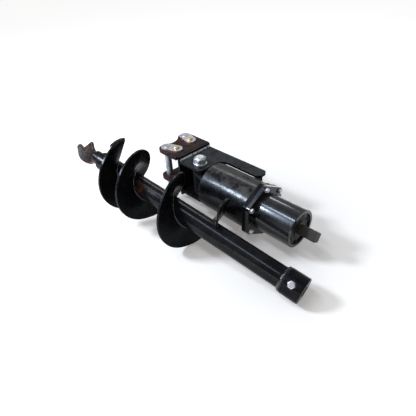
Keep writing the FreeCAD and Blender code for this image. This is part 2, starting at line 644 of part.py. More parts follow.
def hood_parts():
    parts = {}
    shell = x_tube(-HOOD_LEN, -HOOD_FLANGE_T, HOOD_R, HOOD_R - HOOD_WALL)
    rim = [e for e in shell.Edges if abs(e.BoundBox.XMin + HOOD_LEN) < 0.01
           and e.BoundBox.XLength < 0.01 and e.BoundBox.YLength > 2 * HOOD_R - 1]
    parts["hood_shell"] = shell.makeFillet(3.0, rim)
    flange = flange_plate(-HOOD_FLANGE_T, 0)
    flange = flange.cut(x_cyl(-HOOD_FLANGE_T - 1, 1, HOOD_FLANGE_BORE_R))
    flange = flange.cut(x_cyl(-COVER_RIM_T, 1, HOOD_FLANGE_BORE_R + COVER_RIM))
    parts["hood_flange"] = flange_holes(flange, -HOOD_FLANGE_T - 1, 1, BOLT_D / 2)
    x0 = -HOOD_LEN + END_PLATE_SET
    plate_disc = x_cyl(x0, x0 + END_PLATE_T, HOOD_R - HOOD_WALL)
    for side in (-1, 1):
        plate_disc = plate_disc.cut(x_cyl(x0 - 1, x0 + END_PLATE_T + 1, ADAPTER_R,
                                          side * PORT_Y, PORT_Z))
    parts["hood_end_plate"] = plate_disc
    bore_r = PIVOT_R + FIT + BUSH_WALL
    lug_half = SIDE_OUT - SIDE_T - SEAT - BUSH_FLANGE_T
    lug = z_cyl(-lug_half, lug_half, LUG_R, PIVOT_X, PIVOT_Y)
    parts["pivot_lug"] = lug.cut(z_cyl(-lug_half - 1, lug_half + 1, bore_r, PIVOT_X, PIVOT_Y))
    bushes = []
    for side in (-1, 1):
        bush = Part.makeCylinder(bore_r, BUSH_LEN, V(0, 0, -BUSH_LEN))
        bush = bush.fuse(Part.makeCylinder(bore_r + BUSH_RIM, BUSH_FLANGE_T))
        bush = bush.cut(Part.makeCylinder(PIVOT_R + FIT, 2 * BUSH_LEN, V(0, 0, -BUSH_LEN - 1)))
        bushes.append(set_at(bush.removeSplitter(), (PIVOT_X, PIVOT_Y, side * lug_half), (0, 0, side)))
    parts["pivot_bushes"] = Part.makeCompound(bushes)
    round_lug = z_cyl(-SIDE_OUT, SIDE_OUT, LUG_R, PIVOT_X, PIVOT_Y)
    reach = x0 - PIVOT_X
    tangents = []
    for side in (1, -1):
        rise = side * NECK_HALF - PIVOT_Y
        lean = math.atan2(rise, reach) + side * math.acos(LUG_R / math.hypot(reach, rise))
        tangents.append((PIVOT_X + LUG_R * math.cos(lean), PIVOT_Y + LUG_R * math.sin(lean), 0))
    neck_wire = polygon([*tangents, (x0, -NECK_HALF, 0), (x0, NECK_HALF, 0)])
    parts["neck_plates"] = Part.makeCompound([
        plate(neck_wire, z - NECK_T / 2, z + NECK_T / 2).cut(round_lug) for z in (-NECK_Z, NECK_Z)])
    inner = NECK_Z - NECK_T / 2
    web = block(PIVOT_X, x0, -WEB_T / 2, WEB_T / 2, -inner, inner)
    parts["neck_web"] = web.cut(round_lug)
    return parts


# Cradle hitch

def side_outline():
    """The side plate seen from above: a broad nose round the pivot and one long arm."""
    near, far, nose, inner = SIDE_NEAR_Y, SIDE_FAR_Y, SIDE_NOSE_X, ARM_INNER_Y
    f, c, n = ARM_FILLET, ARM_CORNER, NOSE_R
    mid = math.sqrt(0.5)

    def line(start, end):
        return Part.makeLine(V(*start), V(*end))

    def arc(start, middle, end):
        return Part.Arc(V(*start), V(*middle), V(*end)).toShape()

    edges = [
        line((CROSS_X, near, 0), (nose - n, near, 0)),
        arc((nose - n, near, 0), (nose - n + n * mid, near + n - n * mid, 0), (nose, near + n, 0)),
        line((nose, near + n, 0), (nose, inner - f, 0)),
        arc((nose, inner - f, 0), (nose + f - f * mid, inner - f + f * mid, 0), (nose + f, inner, 0)),
        line((nose + f, inner, 0), (ARM_END_X - c, inner, 0)),
        arc((ARM_END_X - c, inner, 0), (ARM_END_X - c + c * mid, inner + c - c * mid, 0),
            (ARM_END_X, inner + c, 0)),
        line((ARM_END_X, inner + c, 0), (ARM_END_X, far - c, 0)),
        arc((ARM_END_X, far - c, 0), (ARM_END_X - c + c * mid, far - c + c * mid, 0),
            (ARM_END_X - c, far, 0)),
        line((ARM_END_X - c, far, 0), (CROSS_X, far, 0)),
        line((CROSS_X, far, 0), (CROSS_X, near, 0)),
    ]
    return Part.Wire(edges)


def ear_outline():
    """The ear plate seen from above: a round lobe for each pin and a waist between."""
    right = CROSS_X - CROSS_T
    near, far = V(*NEAR_PIN, 0), V(*FAR_PIN, 0)
    middle = (near + far) * 0.5
    along = (far - near).normalize()
    left = V(-along.y, along.x, 0)
    half = (far - near).Length / 2
    waist_r = (half ** 2 + EAR_WAIST ** 2 - EAR_LOBE_R ** 2) / (2 * (EAR_LOBE_R - EAR_WAIST))
    waist = middle + left * (EAR_WAIST + waist_r)
    bottom = middle + left * EAR_WAIST
    joins = [waist + (lobe - waist).normalize() * waist_r for lobe in (near, far)]
    top_far = V(far.x, far.y + EAR_LOBE_R, 0)
    low_near = V(near.x, near.y - EAR_LOBE_R, 0)
    tip_near = near + (left - V(0, 1, 0)).normalize() * EAR_LOBE_R
    tip_far = far + (left + V(0, 1, 0)).normalize() * EAR_LOBE_R
    corner_near = V(right, near.y - EAR_LOBE_R, 0)
    corner_far = V(right, far.y + EAR_LOBE_R, 0)
    edges = [
        Part.makeLine(corner_near, low_near),
        Part.Arc(low_near, tip_near, joins[0]).toShape(),
        Part.Arc(joins[0], bottom, joins[1]).toShape(),
        Part.Arc(joins[1], tip_far, top_far).toShape(),
        Part.makeLine(top_far, corner_far),
        Part.makeLine(corner_far, corner_near),
    ]
    return Part.Wire(edges)


def flag_plate(pin, angle, z0):
    """A rounded plate from the pin's head to its lock bolt, flat along one side."""
    a = math.radians(angle)
    lock = (pin[0] + LOCK_REACH * math.cos(a), pin[1] + LOCK_REACH * math.sin(a))
    flag = Part.makeCylinder(FLAG_R, FLAG_T).fuse(
        Part.makeCylinder(FLAG_R, FLAG_T, V(LOCK_REACH, 0, 0)))
    flag = flag.fuse(block(0, LOCK_REACH, -FLAG_R, FLAG_R, 0, FLAG_T)).removeSplitter()
    far_side = LOCK_REACH + FLAG_R
    flag = flag.cut(block(-far_side, far_side, -far_side, -FLAG_CHORD, -1, FLAG_T + 1))
    flag.rotate(V(0, 0, 0), V(0, 0, 1), angle)
    flag.translate(V(pin[0], pin[1], z0))
    flag = flag.cut(z_cyl(z0 - 1, z0 + FLAG_T + 1, PIN_R, *pin))
    return flag.cut(z_cyl(z0 - 1, z0 + FLAG_T + 1, LOCK_BOLT_R + SEAT, *lock)), lock


def hitch_parts():
    parts = {}
    right = CROSS_X - CROSS_T
    side_wire, ear_wire = side_outline(), ear_outline()
    parts["cross_plate"] = block(right, CROSS_X, SIDE_NEAR_Y - CROSS_LAP, SIDE_FAR_Y + CROSS_LAP,
                                 CROSS_BOTTOM, EAR_TOP)
    pin_hole = PIN_R + PIN_HOLE_GAP
    locks = []
    for prefix, pin, angle in (("near", NEAR_PIN, NEAR_LOCK_ANGLE), ("far", FAR_PIN, FAR_LOCK_ANGLE)):
        flag, lock = flag_plate(pin, angle, EAR_TOP)
        locks.append(lock)
        parts[prefix + "_pin_flag"] = flag
        hitch_pin = z_cyl(GROUND, EAR_TOP + FLAG_T + PIN_CHAMFER, PIN_R, *pin)
        ends = [e for e in hitch_pin.Edges if e.BoundBox.ZLength < 0.01]
        parts[prefix + "_hitch_pin"] = hitch_pin.makeChamfer(PIN_CHAMFER, ends)
        bolt = hex_bolt(2 * LOCK_BOLT_R, LOCK_AF, LOCK_HEAD_H, FLAG_T + EAR_T)
        parts[prefix + "_lock_bolt"] = set_at(bolt, (*lock, EAR_TOP + FLAG_T), (0, 0, 1))
    for name, z0 in (("upper_ear_plate", EAR_TOP - EAR_T), ("lower_ear_plate", EAR_BOTTOM)):
        ear = plate(ear_wire, z0, z0 + EAR_T)
        for pin in (NEAR_PIN, FAR_PIN):
            ear = ear.cut(z_cyl(z0 - 1, z0 + EAR_T + 1, pin_hole, *pin))
        if z0 > 0:
            for lock in locks:
                ear = ear.cut(z_cyl(z0 - 1, z0 + EAR_T + 1, LOCK_BOLT_R + FIT, *lock))
        parts[name] = ear
    for name, z0 in (("upper_side_plate", SIDE_OUT - SIDE_T), ("lower_side_plate", -SIDE_OUT)):
        parts[name] = plate(side_wire, z0, z0 + SIDE_T).cut(
            z_cyl(z0 - 1, z0 + SIDE_T + 1, PIVOT_R + FIT, PIVOT_X, PIVOT_Y))
    x1 = ARM_END_X - SADDLE_BACK
    inner = SIDE_OUT - SIDE_T
    saddle = block(x1 - SADDLE_T, x1, ARM_INNER_Y + 2, SIDE_FAR_Y - 2, -inner, inner)
    parts["cradle_saddle_plate"] = saddle.cut(
        x_cyl(x1 - 2 * SADDLE_T, x1 + SADDLE_T, HOOD_R + SADDLE_GAP))
    shank = SIDE_OUT + WASHER_T - GROUND
    bolt = hex_bolt(2 * PIVOT_R, PIVOT_AF, PIVOT_HEAD_H, shank)
    parts["pivot_bolt"] = set_at(bolt, (PIVOT_X, PIVOT_Y, SIDE_OUT + WASHER_T), (0, 0, 1))
    washers = [z_cyl(z, z + WASHER_T, PIVOT_WASHER_R, PIVOT_X, PIVOT_Y).cut(
        z_cyl(z - 1, z + WASHER_T + 1, PIVOT_R + FIT, PIVOT_X, PIVOT_Y))
        for z in (SIDE_OUT, -SIDE_OUT - WASHER_T)]
    nut = hex_prism(PIVOT_AF, PIVOT_NUT_H).cut(Part.makeCylinder(PIVOT_R, 2 * PIVOT_NUT_H))
    nut = set_at(nut, (PIVOT_X, PIVOT_Y, -SIDE_OUT - WASHER_T), (0, 0, -1))
    parts["pivot_nut_and_washers"] = Part.makeCompound([nut] + washers)
    return parts


# Auger bit, made along its own X axis from the flights' start

def lead(angle):
    """Distance along the axis that the flight has climbed at an angle in degrees."""
    s, left = 0.0, angle
    for pitch in TURN_PITCHES:
        step = min(left, 360.0) if pitch is not TURN_PITCHES[-1] else left
        s += pitch * step / 360.0
        left -= step
        if left <= 0:
            break
    return s


def helix_plate(start, end, pitch, x_start, phase, r_in, r_out, thickness):
    """A helicoidal plate from start to end degrees that climbs by pitch in each turn."""
    height = pitch * (end - start) / 360.0
    mid_r = (r_in + r_out) / 2
    spine = Part.makeLongHelix(pitch, height, mid_r)
    half = thickness / 2 / math.cos(math.atan2(pitch, 2 * math.pi * mid_r))
    r0, r1 = r_in - FLIGHT_TRIM, r_out + FLIGHT_TRIM
    profile = polygon([(r0, 0, -half), (r1, 0, -half), (r1, 0, half), (r0, 0, half)])
    solid = Part.Wire(spine.Edges).makePipeShell([profile], True, True)
    z0, length = -FLIGHT_R, height + 2 * FLIGHT_R
    solid = solid.common(Part.makeCylinder(r_out, length, V(0, 0, z0)))
    solid = solid.cut(Part.makeCylinder(r_in, length, V(0, 0, z0)))
    # the helix climbs along Z from +X: turn it to climb along X from +Y
    solid.rotate(V(0, 0, 0), V(0, 0, 1), start + phase)
    solid.rotate(V(0, 0, 0), V(1, 1, 1), 120.0)
    solid.translate(V(x_start, 0, 0))
    return solid


def flight_pieces():
    """The main flight's turns, welded end to end, and the second start's half turn."""
    pieces, start = [], -FLIGHT_LEAD
    for i, pitch in enumerate(TURN_PITCHES):
        end = min(360.0 * (i + 1), FLIGHT_END)
        piece = helix_plate(start, end, pitch, lead(start), FLIGHT_PHASE, TUBE_R, FLIGHT_R,
                            FLIGHT_T)
        pieces.append(piece.cut(pieces[-1]) if pieces else piece)
        start = end
    second = helix_plate(-FLIGHT_LEAD, SECOND_END, TURN_PITCHES[0], lead(-FLIGHT_LEAD),
                         FLIGHT_PHASE + 180.0, TUBE_R, FLIGHT_R, FLIGHT_T)
    return pieces, second


def cutter_blade(phase):
    """A hardened blade under the leading end of one flight, a little proud of its rim."""
    start = -FLIGHT_LEAD - BLADE_AHEAD
    under = (FLIGHT_T + BLADE_T) / 2 / math.cos(math.atan2(TURN_PITCHES[0], math.pi * FLIGHT_R))
    return helix_plate(start, BLADE_SPAN - FLIGHT_LEAD, TURN_PITCHES[0], lead(start) - under, phase,
                       BLADE_INNER_R, FLIGHT_R + BLADE_PROUD, BLADE_T)


def pilot():
    """A twisted fishtail pilot: one plate with a main claw and a shorter side claw."""
    sections = []
    for ahead, low, high in PILOT_OUTLINE:
        x = TIP_SOCKET_X - ahead
        t = 1 - ahead / PILOT_OUTLINE[-1][0]
        h = (PILOT_END_T + (PILOT_BASE_T - PILOT_END_T) * t) / 2
        wire = polygon([(x, low, -h), (x, high, -h), (x, high, h), (x, low, h)])
        wire.rotate(V(0, 0, 0), V(1, 0, 0), PILOT_PHASE + PILOT_TWIST * t)
        sections.append(wire)
    return Part.makeLoft(sections, True, True)


def auger_bit_parts():
    parts = {}
    hub_x = HUB_END - HUB_LEN
    parts["auger_tube"] = x_tube(TUBE_TIP_X, hub_x, TUBE_R, TUBE_R - TUBE_WALL)
    hub = x_cyl(hub_x, HUB_END, HUB_R)
    rims = [e for e in hub.Edges if e.BoundBox.XLength < 0.01]
    hub = hub.makeChamfer(HUB_CHAMFER, rims)
    spigot_r = TUBE_R - TUBE_WALL
    hub = hub.fuse(x_cyl(hub_x - SPIGOT_LEN, hub_x + 1, spigot_r)).removeSplitter()
    socket = square_bar(HUB_END - SOCKET_DEPTH, HUB_END + 1, SHAFT_SQUARE + SOCKET_PLAY,
                        SHAFT_CORNER_R - 1, HUB_BOLT_PHASE)
    hub = hub.cut(socket)
    a = math.radians(HUB_BOLT_PHASE)
    out = (0, math.cos(a), math.sin(a))
    back = tuple(-v for v in out)
    bolt_x = HUB_END - HUB_BOLT_BACK
    hub = hub.cut(set_at(Part.makeCylinder(HUB_BOLT_D / 2, 2 * HUB_R, V(0, 0, -HUB_R)),
                         (bolt_x, 0, 0), out))
    seats = [(bolt_x, HUB_FLAT * way[1], HUB_FLAT * way[2]) for way in (out, back)]
    for seat, way in zip(seats, (out, back)):
        hub = hub.cut(set_at(Part.makeCylinder(HUB_SPOT_R, HUB_R), seat, way))
    # a broached collar, welded to the plug that fits in the tube
    reach = HUB_LEN + 2 * SPIGOT_LEN
    split_x = HUB_END - SOCKET_DEPTH
    parts["auger_hub"] = Part.makeCompound([
        hub.common(x_cyl(split_x, split_x + reach, 2 * HUB_R)).Solids[0],
        hub.common(x_cyl(split_x - reach, split_x, 2 * HUB_R)).Solids[0]])
    bolt = hex_bolt(HUB_BOLT_D, HUB_BOLT_AF, HUB_BOLT_HEAD_H,
                    2 * HUB_FLAT + HUB_NUT_H + HUB_BOLT_PROUD)
    nut = hex_prism(HUB_BOLT_AF, HUB_NUT_H).cut(Part.makeCylinder(HUB_BOLT_D / 2, 2 * HUB_NUT_H))
    parts["hub_cross_bolt"] = Part.makeCompound([set_at(bolt, seats[0], out),
                                                 set_at(nut, seats[1], back)])
    turns, second = flight_pieces()
    parts["main_flight"] = Part.makeCompound(turns)
    parts["second_start_flight"] = second
    parts["cutter_blades"] = Part.makeCompound([cutter_blade(FLIGHT_PHASE),
                                                cutter_blade(FLIGHT_PHASE + 180.0)])
    socket_hub = x_cyl(TIP_SOCKET_X, TUBE_TIP_X + 1, TIP_SOCKET_R)
    socket_hub = socket_hub.fuse(x_cyl(TUBE_TIP_X, TUBE_TIP_X + SPIGOT_LEN, spigot_r))
    parts["pilot_socket"] = socket_hub.removeSplitter()
    parts["pilot_point"] = pilot()
    return parts


# Placing the auger: its flights and its hub both touch the ground

def auger_placement(flight):
    """The bit's slope and place, with its lowest point set exactly on the ground."""
    contact = lead(CONTACT_TURN)
    tilt = math.atan2(FLIGHT_R - HUB_R, HUB_END - HUB_CHAMFER - contact)
    turn = FreeCAD.Rotation(V(0, 0, 1), AUGER_YAW).multiply(
        FreeCAD.Rotation(V(0, 1, 0), math.degrees(tilt)))
    trial = flight.copy()
    trial.Placement = FreeCAD.Placement(V(*AUGER_START, 0), turn)
    low = trial.optimalBoundingBox(False).ZMin
    return FreeCAD.Placement(V(*AUGER_START, GROUND - low), turn)


def build():
    """All the solids by name, standing on Z = 0 with the origin under their middle."""
    parts = {}
    for group in (gearbox_parts(), motor_parts(), hood_parts(), hitch_parts()):
        parts.update(group)
    bit = auger_bit_parts()
    place = auger_placement(bit["main_flight"])
    for name, shape in bit.items():
        moved = shape.copy()
        moved.Placement = place.multiply(moved.Placement)
        parts[name] = moved
    box = Part.makeCompound(list(parts.values())).optimalBoundingBox(False)
    shift = V(-box.Center.x, -box.Center.y, -GROUND)
    for name in parts:
        parts[name].translate(shift)
    return parts, shift


parts, shift = build()
os.makedirs("parts", exist_ok=True)
for name, shape in parts.items():
    shape.exportStep("parts/%s.step" % name)
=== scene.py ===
import json
import math
import random

import bpy
import numpy as np
from mathutils import Matrix, Vector


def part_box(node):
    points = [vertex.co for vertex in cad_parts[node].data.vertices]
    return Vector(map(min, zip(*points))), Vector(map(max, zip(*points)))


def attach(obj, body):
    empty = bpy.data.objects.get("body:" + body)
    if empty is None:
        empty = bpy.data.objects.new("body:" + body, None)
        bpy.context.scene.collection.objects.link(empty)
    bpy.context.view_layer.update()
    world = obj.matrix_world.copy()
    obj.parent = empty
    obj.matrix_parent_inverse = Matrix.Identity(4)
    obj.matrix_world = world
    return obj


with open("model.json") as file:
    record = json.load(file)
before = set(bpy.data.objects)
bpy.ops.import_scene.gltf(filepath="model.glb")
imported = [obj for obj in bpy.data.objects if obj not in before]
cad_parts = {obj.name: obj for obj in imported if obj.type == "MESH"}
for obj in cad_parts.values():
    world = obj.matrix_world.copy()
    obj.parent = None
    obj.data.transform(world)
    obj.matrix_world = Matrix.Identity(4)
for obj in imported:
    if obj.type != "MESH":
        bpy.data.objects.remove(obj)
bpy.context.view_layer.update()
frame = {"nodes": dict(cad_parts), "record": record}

NODES = frame["nodes"]
MM = 0.001
WHITE = (1.0, 1.0, 1.0)

# The drive's own frame: its axis runs along +X and its flange joint is at zero
FLANGE_LOW, FLANGE_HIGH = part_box("hood_flange")
ORIGIN = Vector((FLANGE_HIGH.x, (FLANGE_LOW.y + FLANGE_HIGH.y) / 2,
                 (FLANGE_LOW.z + FLANGE_HIGH.z) / 2))


def drive(x, y, z):
    """A point given in mm in the drive's frame."""
    return ORIGIN + Vector((x, y, z)) * MM


def extent(node):
    """A node's lowest and highest corners in mm in the drive's frame."""
    return [(Vector(corner) - ORIGIN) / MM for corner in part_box(node)]


# Camera, fitted to the photograph: its place in mm in the drive's frame, its angles in radians

CAMERA_AT = (785.5, -1038.5, 996.3)
CAMERA_YAW = -0.8302
CAMERA_PITCH = 0.6494
CAMERA_ROLL = 0.057
CAMERA_CLIP = (0.05, 50)   # m
FOCAL_PX = 370.6
FRAME_PX = 416
SENSOR = 36.0              # mm


def make_camera():
    cy, sy = math.cos(CAMERA_YAW), math.sin(CAMERA_YAW)
    cp, sp = math.cos(CAMERA_PITCH), math.sin(CAMERA_PITCH)
    forward = Vector((sy * cp, cy * cp, -sp))
    level = Vector((cy, -sy, 0))
    down = forward.cross(level)
    cr, sr = math.cos(CAMERA_ROLL), math.sin(CAMERA_ROLL)
    right = level * cr + down * sr
    below = down * cr - level * sr
    data = bpy.data.cameras.new("camera")
    data.lens = FOCAL_PX * SENSOR / FRAME_PX
    data.sensor_width = SENSOR
    data.clip_start, data.clip_end = CAMERA_CLIP
    camera = bpy.data.objects.new("camera", data)
    bpy.context.scene.collection.objects.link(camera)
    turn = Matrix((right, -below, -forward)).transposed().to_4x4()
    camera.matrix_world = Matrix.Translation(drive(*CAMERA_AT)) @ turn
    bpy.context.scene.camera = camera


# Lights and world

COOL = (0.84, 0.91, 1.0)
TAN = (1.0, 0.72, 0.45)
LAMP_TARGET = Vector((0, 0, 0.15))
LAMPS = (
    # name, place in m, width and height in m, watts, colour
    ("key", (-1.6, -1.7, 2.3), (0.6, 0.6), 84, COOL),
    ("strip", (-0.2, -0.9, 2.6), (1.8, 0.3), 20, COOL),
    ("far_strip", (-1.5, 1.9, 2.2), (1.2, 0.4), 9, WHITE),
    ("low_strip", (0.6, -2.0, 0.45), (1.4, 0.12), 5, TAN),
)
WORLD_COLOUR = (0.98, 0.99, 1.0, 1)
WORLD_LIGHT = 0.22


def make_lights():
    for name, at, size, power, colour in LAMPS:
        data = bpy.data.lights.new(name, "AREA")
        data.shape = "RECTANGLE"
        data.size, data.size_y = size
        data.energy = power
        data.color = colour
        lamp = bpy.data.objects.new(name, data)
        lamp.location = at
        lamp.rotation_euler = (LAMP_TARGET - Vector(at)).to_track_quat("-Z", "Y").to_euler()
        bpy.context.scene.collection.objects.link(lamp)


def make_world():
    world = bpy.data.worlds.new("world")
    bpy.context.scene.world = world
    world.use_nodes = True
    soft = world.node_tree.nodes["Background"]
    soft.inputs["Color"].default_value = WORLD_COLOUR
    soft.inputs["Strength"].default_value = WORLD_LIGHT


# Short ways to write shader nodes

BEVEL_SAMPLES = 4
EDGE_TURN = (0.995, 0.80)   # cosine between true and rounded normal, on a face and on an edge


class Look:
    """A material made of nodes; its textures follow the piece's own coordinates."""

    def __init__(self, name, metallic=0.0):
        self.material = bpy.data.materials.new(name)
        self.material.use_nodes = True
        self.tree = self.material.node_tree
        self.bsdf = self.tree.nodes["Principled BSDF"]
        self.set("Metallic", metallic)
        self.coords = self.add("TexCoord").outputs["Object"]
        self.surface = self.add("NewGeometry")

    def set(self, name, value):
        self.feed(self.bsdf.inputs[name], value)

    def feed(self, socket, value):
        if isinstance(value, bpy.types.NodeSocket):
            self.tree.links.new(value, socket)
        elif socket.type == "RGBA" and len(value) == 3:
            socket.default_value = (*value, 1)
        else:
            socket.default_value = value

    def add(self, kind, values=(), **settings):
        node = self.tree.nodes.new("ShaderNode" + kind)
        for key, value in settings.items():
            setattr(node, key, value)
        for key, value in dict(values).items():
            self.feed(node.inputs[key], value)
        return node

    def moved(self, shift=(0, 0, 0), scale=(1, 1, 1)):
        return self.add("Mapping", {"Vector": self.coords, "Location": shift,
                                    "Scale": scale}).outputs[0]

    def noise(self, scale, detail, roughness, shift=0.0, coords=None):
        """Soft noise from 0 to 1; scale is in features for each metre."""
        where = coords or (self.moved((shift, shift, 0)) if shift else self.coords)
        return self.add("TexNoise", {"Vector": where, "Scale": scale, "Detail": detail,
                                     "Roughness": roughness}).outputs["Fac"]

    def between(self, value, low, high, to_low=0.0, to_high=1.0):
        """A value spread smoothly from one range over another."""
        return self.add("MapRange", {"Value": value, "From Min": low, "From Max": high,
                                     "To Min": to_low, "To Max": to_high},
                        interpolation_type="SMOOTHSTEP").outputs[0]

    def math(self, operation, a, b):
        return self.add("Math", {0: a, 1: b}, operation=operation).outputs[0]

    def times(self, a, b):
        return self.math("MULTIPLY", a, b)

    def blend(self, share, a, b):
        """Colour a turning into colour b."""
        return self.add("Mix", {0: share, 6: a, 7: b}, data_type="RGBA").outputs[2]

    def facing_up(self):
        normal = self.add("SeparateXYZ", {0: self.surface.outputs["Normal"]})
        return normal.outputs["Z"]

    def near(self, place, reach, full, most=1.0):
        """Rises from 0 at a reach in m from a place to its most at a share of that reach."""
        far = self.add("VectorMath", {0: self.coords, 1: place}, operation="DISTANCE")
        return self.between(far.outputs["Value"], reach, reach * full, 0.0, most)

    def rounded(self, radius):
        return self.add("Bevel", {"Radius": radius}, samples=BEVEL_SAMPLES).outputs[0]

    def edges(self, radius):
        """How near a sharp edge is: 0 on a flat face, rising to about 1 on the edge."""
        dot = self.add("VectorMath", {0: self.rounded(radius), 1: self.surface.outputs["Normal"]},
                       operation="DOT_PRODUCT").outputs["Value"]
        return self.between(dot, *EDGE_TURN)

    def bumps(self, layers, edge=0.0):
        """Stacks (height, strength, distance) layers over edges rounded by a radius."""
        normal = self.rounded(edge) if edge else None
        for height, strength, distance in layers:
            values = {"Height": height, "Strength": strength, "Distance": distance}
            if normal:
                values["Normal"] = normal
            normal = self.add("Bump", values).outputs[0]
        self.set("Normal", normal)


# Floor

FLOOR_HALF = 12.0   # m
FLOOR_COLOUR = (0.93, 0.905, 0.88)
FLOOR_ROUGHNESS = 0.9
FLOOR_GLOW = (0.4, 1.6, 0.22, 0.75)   # two distances in m from the middle, and its strengths there


def make_floor():
    """A pale floor whose glow only the camera, gloss and glass see."""
    mesh = bpy.data.meshes.new("floor")
    half = FLOOR_HALF
    mesh.from_pydata([(-half, -half, 0), (half, -half, 0), (half, half, 0), (-half, half, 0)], [],
                     [(0, 1, 2, 3)])
    floor = bpy.data.objects.new("floor", mesh)
    bpy.context.scene.collection.objects.link(floor)
    look = Look("floor")
    look.set("Base Color", FLOOR_COLOUR)
    look.set("Roughness", FLOOR_ROUGHNESS)
    away = look.add("VectorMath", {0: look.surface.outputs["Position"]}, operation="LENGTH")
    glow = look.between(away.outputs["Value"], *FLOOR_GLOW)
    path = look.add("LightPath")
    seen = path.outputs["Is Camera Ray"]
    for other in ("Is Glossy Ray", "Is Transmission Ray"):
        seen = look.math("MAXIMUM", seen, path.outputs[other])
    look.set("Emission Color", WHITE)
    look.set("Emission Strength", look.times(seen, glow))
    assign(floor, look.material)


# Finishes

PAINT_DARK = (0.0045, 0.0047, 0.0058)
PAINT_SOFT = (0.0105, 0.0108, 0.0125)
SCALE_BROWN = (0.026, 0.017, 0.016)
DUST = (0.085, 0.074, 0.066)
GREY_DUST = (0.062, 0.065, 0.068)
RUST_DARK = (0.040, 0.014, 0.010)
RUST_RED = (0.150, 0.045, 0.030)
STAIN_RED = (0.42, 0.17, 0.14)
BARE_STEEL = (0.36, 0.36, 0.37)
WELD_SILVER = (0.86, 0.87, 0.89)
WELD_SOOT = (0.08, 0.08, 0.085)

# Noises: features for each metre, detail, roughness and a shift that tells them apart
BLOTCHES = (11, 5, 0.6, 0.0)
SMEARS = (38, 6, 0.68, 3.1)
SPECKS = (120, 4, 0.7, 7.7)
RUST_PATCHES = (26, 8, 0.72, 12.3)
PAINT_WAVES = (12, 1, 0.4, 1.7)
ZINC_CLOUDS = (60, 5, 0.6, 0.0)
ZINC_STAINS = (48, 6, 0.75, 4.4)
ZINC_GRIT = (420, 2, 0.5, 0.0)
TOOL_LINES = (60, 3, 0.6, 0.0)
OIL = (30, 4, 0.6, 5.0)
CAST_CLOUDS = (28, 5, 0.6, 2.0)
FORGED_PATCHES = (34, 8, 0.72, 8.0)
FORGED_SPECKS = (130, 5, 0.7, 0.0)
OVERSPRAY = (95, 5, 0.7, 0.0)
WELD_GRIT = (320, 3, 0.6, 0.0)

SPANGLES = 190                      # of zinc for each metre
TOOL_LINE_PINCH = 24                # how much finer tool lines are along the piece's X
# Painted light: a blue tint on the paint's reflections stands in for blue sky light
PAINTED_SKY_TINT = (0.72, 0.84, 1.0)
COAT_ROUGHNESS = 0.10
FORGED_GLEAM = 0.12
PAINT_WAVE = (0.25, 0.003)          # strength, and height in m
DUST_LIES = (0.45, 0.98)            # the normal's Z where dust begins and where it is full
PAINTED_TOP_SHEEN = (-0.15, 0.45, 0.35, 1.0)   # two values of the normal's Z, and the gloss at them: painted shade dims the undersides
DUST_DULLS = 0.35                   # what full dust adds to the roughness
RUST_DULLS = 0.25
RUST_COVERS = 0.7                   # share of the paint's colour that rust hides
WORN_AND_LIT_METALLIC = 0.8

# Radii in m: how wide edges are worn bare and, on paint, painted lighter as edge highlights, and
# how round edges look
PAINT_WORN_AND_LIT = 0.0022
FORGED_WORN = 0.003
PAINT_ROUND = 0.0014
ZINC_ROUND = 0.0012
MACHINED_ROUND = 0.0006
CAST_ROUND = 0.001
FORGED_ROUND = 0.002


def paint(name, gloss, dull, gleam, dust, wear_and_edge_light, coat=0.0, wave=0.5, dust_colour=DUST, rust=0.0,
          rust_spot=None):
    """Glossy black enamel over steel: painted shade takes the gloss off its undersides, it is
    dusty above, and its worn edges are also painted lighter as edge highlights.

    Its roughness runs from gloss to dull, and rust_spot is a place with a reach in m.
    """
    look = Look(name)
    blotch = look.noise(*BLOTCHES)
    smear = look.noise(*SMEARS)
    speck = look.noise(*SPECKS)
    colour = look.blend(look.between(blotch, 0.4, 0.68), PAINT_DARK, PAINT_SOFT)
    rough = look.between(smear, 0.44, 0.66, gloss, dull)

    up = look.between(look.facing_up(), *DUST_LIES)
    film = look.between(look.times(smear, look.between(blotch, 0.2, 0.8, 0.7, 1.3)), 0.30, 0.72)
    dusty = look.times(look.times(up, film), dust)
    colour = look.blend(dusty, colour, dust_colour)
    rough = look.math("ADD", rough, look.times(dusty, DUST_DULLS))

    if rust:
        patch = look.noise(*RUST_PATCHES)
        rusty = look.between(patch, 0.66 - 0.3 * rust, 0.78 - 0.2 * rust)
        if rust_spot:
            rusty = look.times(rusty, look.near(*rust_spot, full=0.4))
        shade = look.blend(look.between(speck, 0.35, 0.7), RUST_DARK, RUST_RED)
        colour = look.blend(look.times(rusty, RUST_COVERS), colour, shade)
        rough = look.math("ADD", rough, look.times(rusty, RUST_DULLS))

    # Worn bare edges, also painted lighter as edge highlights
    edge = look.times(look.edges(PAINT_WORN_AND_LIT), look.between(speck, 0.38, 0.60))
    worn_and_lit_edge = look.times(edge, wear_and_edge_light)
    look.set("Base Color", look.blend(worn_and_lit_edge, colour, BARE_STEEL))
    look.set("Metallic", look.times(worn_and_lit_edge, WORN_AND_LIT_METALLIC))
    look.set("Roughness", rough)
    # Painted shade: specular and coat fade on faces that point down, so undersides reflect less
    painted_top_sheen = look.between(look.facing_up(), *PAINTED_TOP_SHEEN)
    look.set("Specular IOR Level", look.times(painted_top_sheen, gleam))
    # Painted blue tint on the reflections
    look.set("Specular Tint", PAINTED_SKY_TINT)
    look.set("Coat Weight", look.times(painted_top_sheen, coat))
    look.set("Coat Roughness", COAT_ROUGHNESS)
    strength, height = PAINT_WAVE
    look.bumps([(look.noise(*PAINT_WAVES), strength * wave, height)], edge=PAINT_ROUND)
    return look.material


